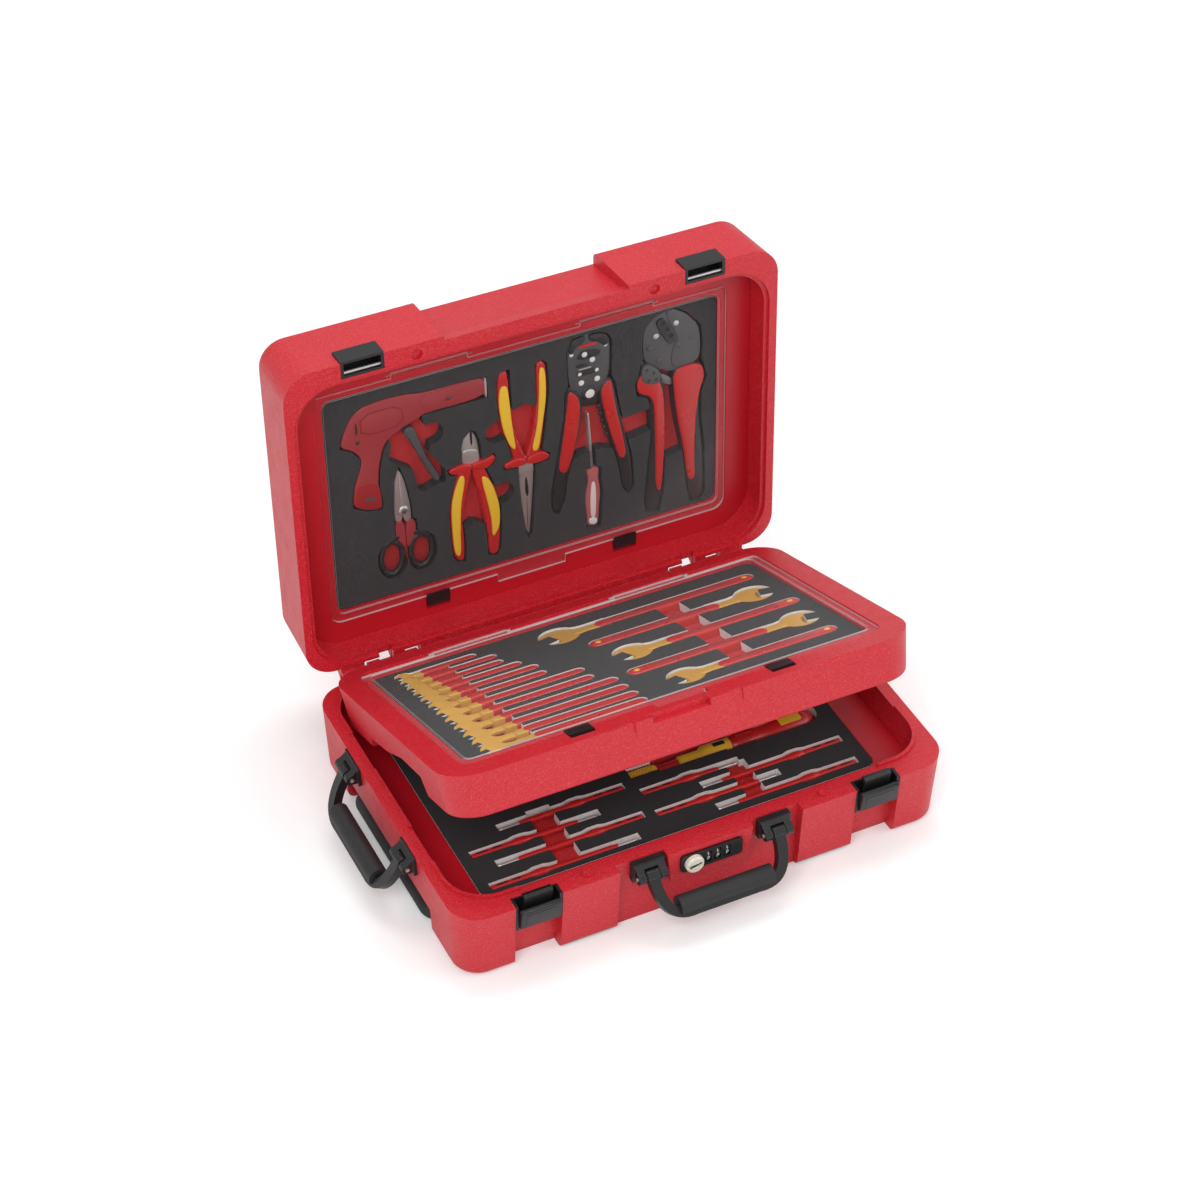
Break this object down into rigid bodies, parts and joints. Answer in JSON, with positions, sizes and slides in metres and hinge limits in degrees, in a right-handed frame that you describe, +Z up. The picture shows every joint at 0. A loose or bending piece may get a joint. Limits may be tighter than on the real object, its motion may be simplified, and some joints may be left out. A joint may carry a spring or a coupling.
{
  "type": "hard tool case",
  "caption": "Wheeled hard tool case shown open: base, swing-up middle tray and lid with foam-set insulated tools, clear covers, latches, dial lock and handles.",
  "frame": {"origin": "middle of the base's underside, under the middle of the shell's plan", "axes": "+Z up, -Y is the front with latches and lock, +X is the wheeled end"},
  "size_m": [0.5614, 0.4964, 0.4442],
  "materials": {
    "red_shell": "fine grained, satin",
    "red_liner": "vacuum formed, satin",
    "black_plastic": "satin",
    "grip": "soft touch",
    "steel": "brushed",
    "ivory": "gloss",
    "dial": "satin",
    "dark_foam": "closed-cell foam, matt",
    "red_foam": "closed-cell foam, matt",
    "clear": "clear plastic sheet",
    "insulated_tool": "dipped insulation",
    "tool_steel": "satin",
    "ochre_tool": "insulated",
    "grey_tool": "satin"
  },
  "bodies": {
    "case": {"base_shell": "red_shell", "base_liner": "red_liner", "base_foam": "dark_foam", "base_foam_red": "red_foam", "hinge_pins": "steel", "latch_frames": "black_plastic", "latch_pins": "steel", "lock_plate": "black_plastic", "lock_axle": "steel", "front_brackets": "black_plastic", "front_pins": "steel", "side_brackets": "black_plastic", "side_pins": "steel", "tube_guides": "black_plastic", "wheel_axles": "steel", "torque_handle": "insulated_tool", "driver_blades": "tool_steel"},
    "lid": {"lid_shell": "red_shell", "lid_liner": "red_liner", "lid_foam": "dark_foam", "lid_foam_red": "red_foam", "lid_hoods": "black_plastic", "latch_bars": "steel", "tie_gun": "insulated_tool", "scissors": "tool_steel", "side_cutters": "insulated_tool", "long_nose_pliers": "insulated_tool", "wire_stripper": "grey_tool", "voltage_tester": "insulated_tool", "crimping_pliers": "grey_tool"},
    "gun_trigger": {"tie_gun_trigger": "tool_steel"},
    "lid_cover": {"lid_cover": "clear"},
    "lid_clip_left": {"lid_clip_left": "black_plastic"},
    "lid_clip_right": {"lid_clip_right": "black_plastic"},
    "tray": {"tray_shell": "red_shell", "tray_foam": "dark_foam", "tray_foam_red": "red_foam", "small_spanners": "ochre_tool", "large_spanners": "insulated_tool"},
    "tray_cover": {"tray_cover": "clear"},
    "tray_clip_left": {"tray_clip_left": "black_plastic"},
    "tray_clip_right": {"tray_clip_right": "black_plastic"},
    "latch_left": {"latch_left": "black_plastic"},
    "latch_right": {"latch_right": "black_plastic"},
    "lock_knob": {"lock_knob": "ivory"},
    "lock_bolt": {"lock_bolt": "black_plastic"},
    "dial_1": {"dial_1": "dial"},
    "dial_2": {"dial_2": "dial"},
    "dial_3": {"dial_3": "dial"},
    "front_handle": {"front_handle": "black_plastic", "front_grip": "grip"},
    "side_handle": {"side_handle": "black_plastic", "side_grip": "grip"},
    "pull_handle": {"pull_tubes": "steel", "pull_grip": "grip"},
    "wheel_front": {"wheel_front": "grip"},
    "wheel_rear": {"wheel_rear": "grip"}
  },
  "joints": [
    {"name": "lid_hinge", "type": "hinge", "parent": "case", "child": "lid", "pos_m": [0, 0.187, 0.07925], "axis": [-1, 0, 0], "range_deg": [-93, 0]},
    {"name": "tray_hinge", "type": "hinge", "parent": "case", "child": "tray", "pos_m": [0, 0.187, 0.07925], "axis": [-1, 0, 0], "range_deg": [-20.5, 0]},
    {"name": "tray_cover_hinge", "type": "hinge", "parent": "tray", "child": "tray_cover", "pos_m": [0, 0.15609, 0.10223], "axis": [-1, 0, 0], "range_deg": [0, 70]},
    {"name": "lid_cover_hinge", "type": "hinge", "parent": "lid", "child": "lid_cover", "pos_m": [0, 0.23699, 0.39206], "axis": [-1, 0, 0], "range_deg": [0, 92]},
    {"name": "tray_clip_left_slide", "type": "slide", "parent": "tray", "child": "tray_clip_left", "axis": [0, -0.9367, 0.3502], "range_m": [0, 0.004]},
    {"name": "lid_clip_left_slide", "type": "slide", "parent": "lid", "child": "lid_clip_left", "axis": [0, -0.0523, -0.9986], "range_m": [0, 0.004]},
    {"name": "tray_clip_right_slide", "type": "slide", "parent": "tray", "child": "tray_clip_right", "axis": [0, -0.9367, 0.3502], "range_m": [0, 0.004]},
    {"name": "lid_clip_right_slide", "type": "slide", "parent": "lid", "child": "lid_clip_right", "axis": [0, -0.0523, -0.9986], "range_m": [0, 0.004]},
    {"name": "gun_trigger_pivot", "type": "hinge", "parent": "lid", "child": "gun_trigger", "pos_m": [-0.122, 0.24445, 0.31557], "axis": [0, 0.9986, -0.0523], "range_deg": [0, 14]},
    {"name": "latch_left_pivot", "type": "hinge", "parent": "case", "child": "latch_left", "pos_m": [-0.18, -0.169, 0.056], "axis": [1, 0, 0], "range_deg": [-9, 25]},
    {"name": "latch_right_pivot", "type": "hinge", "parent": "case", "child": "latch_right", "pos_m": [0.18, -0.169, 0.056], "axis": [1, 0, 0], "range_deg": [-9, 25]},
    {"name": "lock_knob_turn", "type": "hinge", "parent": "case", "child": "lock_knob", "pos_m": [-0.021, -0.179, 0.062], "axis": [0, -1, 0], "range_deg": [0, 90]},
    {"name": "lock_bolt_slide", "type": "slide", "parent": "case", "child": "lock_bolt", "axis": [1, 0, 0], "range_m": [0, 0.006]},
    {"name": "dial_1_turn", "type": "hinge", "parent": "case", "child": "dial_1", "pos_m": [-0.005, -0.171, 0.062], "axis": [1, 0, 0], "continuous": true},
    {"name": "dial_2_turn", "type": "hinge", "parent": "case", "child": "dial_2", "pos_m": [0.005, -0.171, 0.062], "axis": [1, 0, 0], "continuous": true},
    {"name": "dial_3_turn", "type": "hinge", "parent": "case", "child": "dial_3", "pos_m": [0.015, -0.171, 0.062], "axis": [1, 0, 0], "continuous": true},
    {"name": "front_handle_swing", "type": "hinge", "parent": "case", "child": "front_handle", "pos_m": [0.002, -0.179, 0.064], "axis": [-1, 0, 0], "range_deg": [-30, 57]},
    {"name": "side_handle_swing", "type": "hinge", "parent": "case", "child": "side_handle", "pos_m": [-0.26934, 0.006, 0.066], "axis": [0, 1, 0], "range_deg": [-20, 67]},
    {"name": "pull_handle_slide", "type": "slide", "parent": "case", "child": "pull_handle", "axis": [-1, 0, 0], "range_m": [0, 0.3]},
    {"name": "wheel_front_spin", "type": "hinge", "parent": "case", "child": "wheel_front", "pos_m": [0.247, -0.124, 0.0185], "axis": [0, 1, 0], "continuous": true},
    {"name": "wheel_rear_spin", "type": "hinge", "parent": "case", "child": "wheel_rear", "pos_m": [0.247, 0.124, 0.0185], "axis": [0, 1, 0], "continuous": true}
  ],
  "couplings": [
    {"joint": "tray_hinge", "follows": "lid_hinge", "ratio": 0.22043},
    {"joint": "lock_bolt_slide", "follows": "lock_knob_turn", "m_per_rad": 0.00382}
  ]
}
